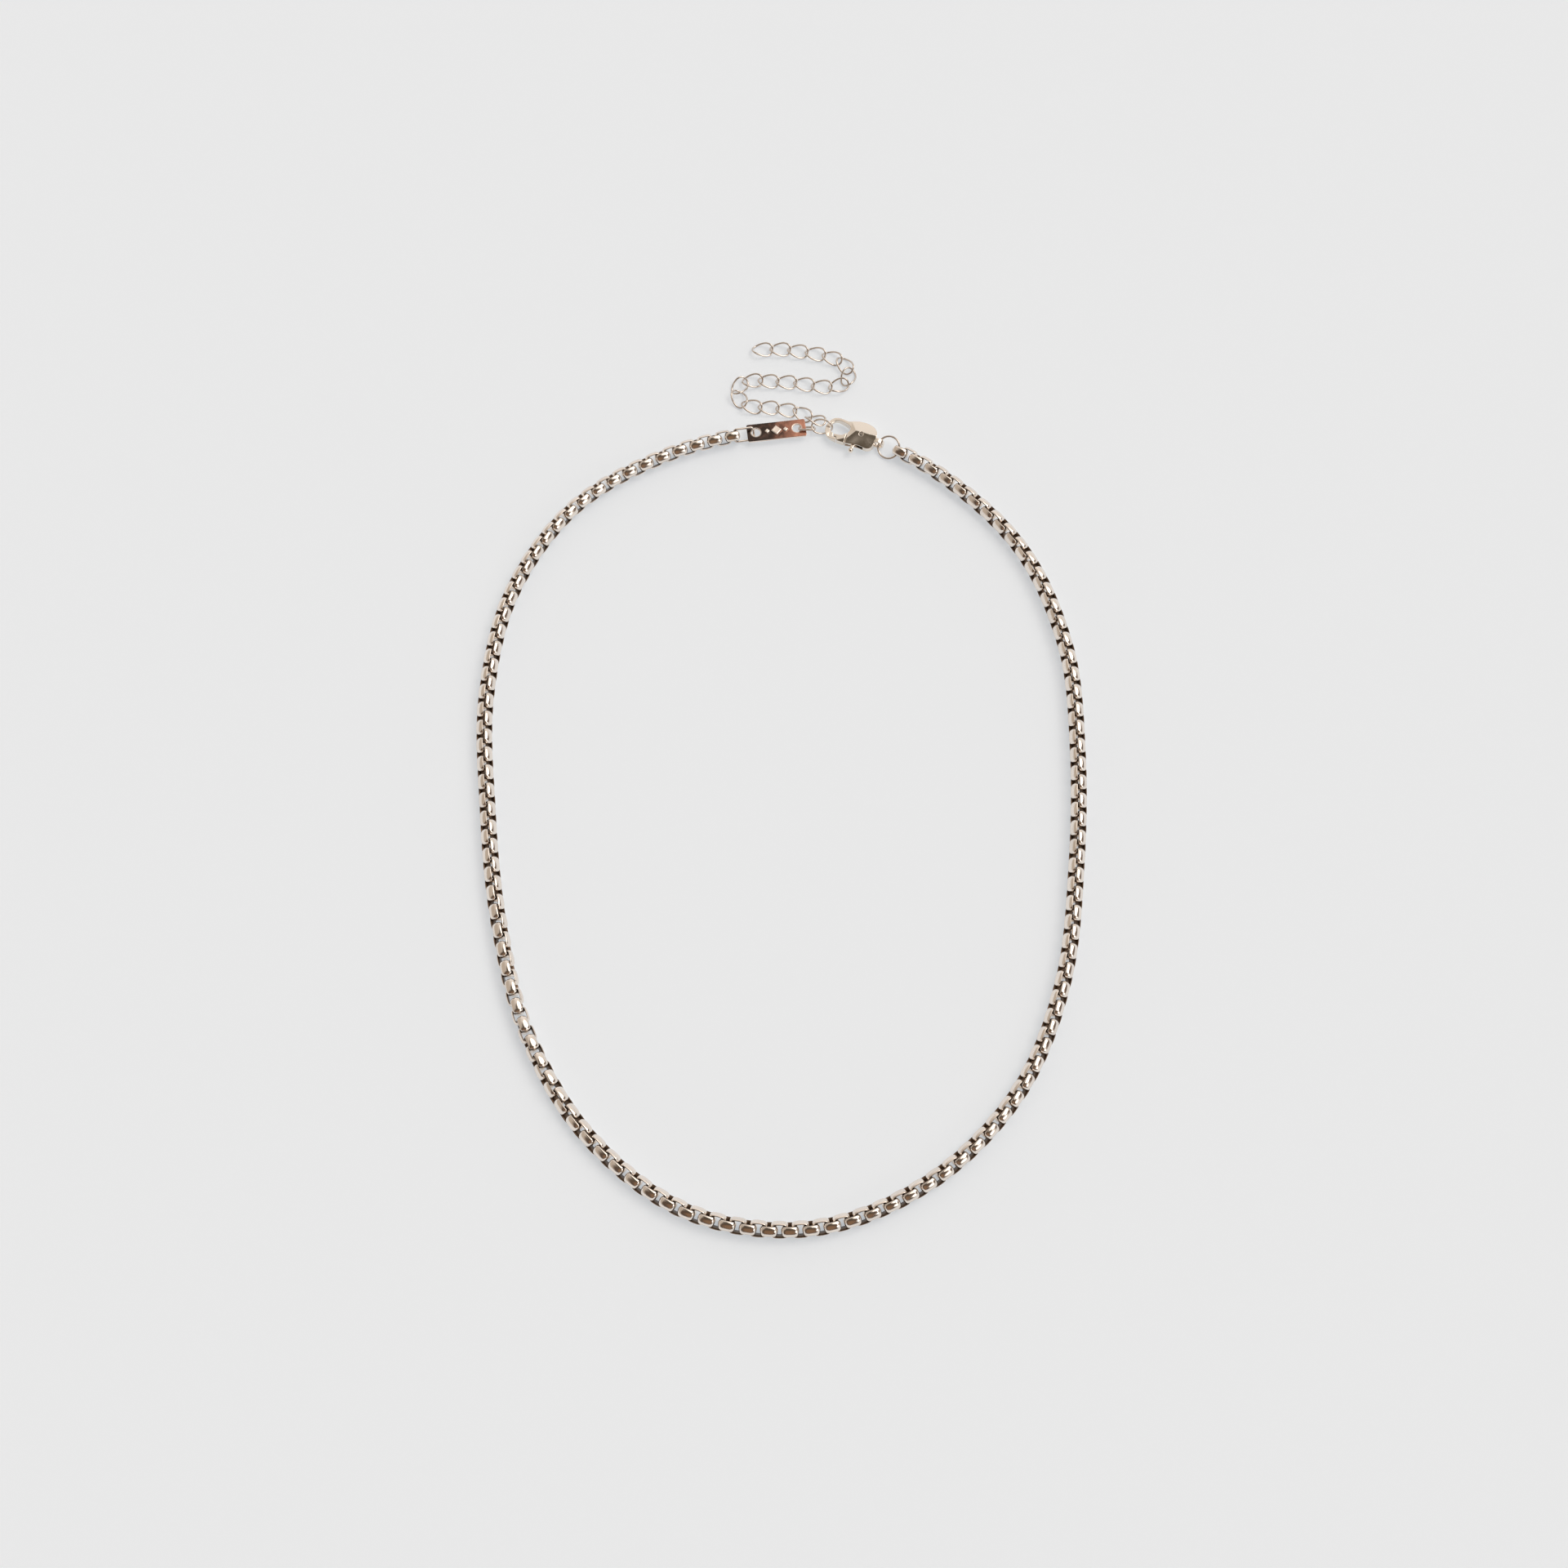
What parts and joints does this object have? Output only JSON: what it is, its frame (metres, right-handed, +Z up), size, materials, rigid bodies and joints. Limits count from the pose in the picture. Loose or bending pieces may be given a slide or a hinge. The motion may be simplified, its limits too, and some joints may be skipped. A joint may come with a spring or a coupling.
{
  "type": "box chain necklace",
  "caption": "Rounded box chain necklace with a lobster clasp, a small oblong tag and a curb extender chain, lying closed in a loop.",
  "frame": {"origin": "middle of the bounding box's lower face, on the surface that the necklace lies on", "axes": "+Z up from the surface; +Y along the necklace's longest side, towards the clasp; +X to the right in the picture"},
  "size_m": [0.1317, 0.2064, 0.0036],
  "materials": {
    "chain_metal": "polished warm silver plating",
    "clasp_metal": "polished warm silver plating",
    "tag_metal": "polished plating with a darker, coppery tone"
  },
  "bodies": {
    "necklace": {"box_chain_right": "chain_metal", "box_chain_left": "chain_metal", "connector_link": "chain_metal", "tag": "tag_metal", "tag_ring": "chain_metal", "clasp_body": "clasp_metal", "clasp_pin": "clasp_metal", "clasp_ring": "chain_metal", "extender_link_01": "chain_metal", "extender_link_02": "chain_metal", "extender_link_03": "chain_metal", "extender_link_04": "chain_metal", "extender_link_05": "chain_metal", "extender_link_06": "chain_metal", "extender_link_07": "chain_metal", "extender_link_08": "chain_metal", "extender_link_09": "chain_metal", "extender_link_10": "chain_metal", "extender_link_11": "chain_metal", "extender_link_12": "chain_metal", "extender_link_13": "chain_metal", "extender_link_14": "chain_metal", "extender_link_15": "chain_metal", "extender_link_16": "chain_metal", "extender_link_17": "chain_metal", "extender_link_18": "chain_metal", "extender_link_19": "chain_metal", "extender_link_20": "chain_metal", "extender_link_21": "chain_metal"},
    "lever": {"clasp_lever": "clasp_metal"}
  },
  "joints": [
    {"name": "lever_hinge", "type": "hinge", "parent": "necklace", "child": "lever", "pos_m": [0.01837, 0.07792, 0.0014], "axis": [0, 0, -1], "range_deg": [0, 20], "stiffness_Nm_per_rad": 0.00005, "springref_deg": -5.73}
  ]
}
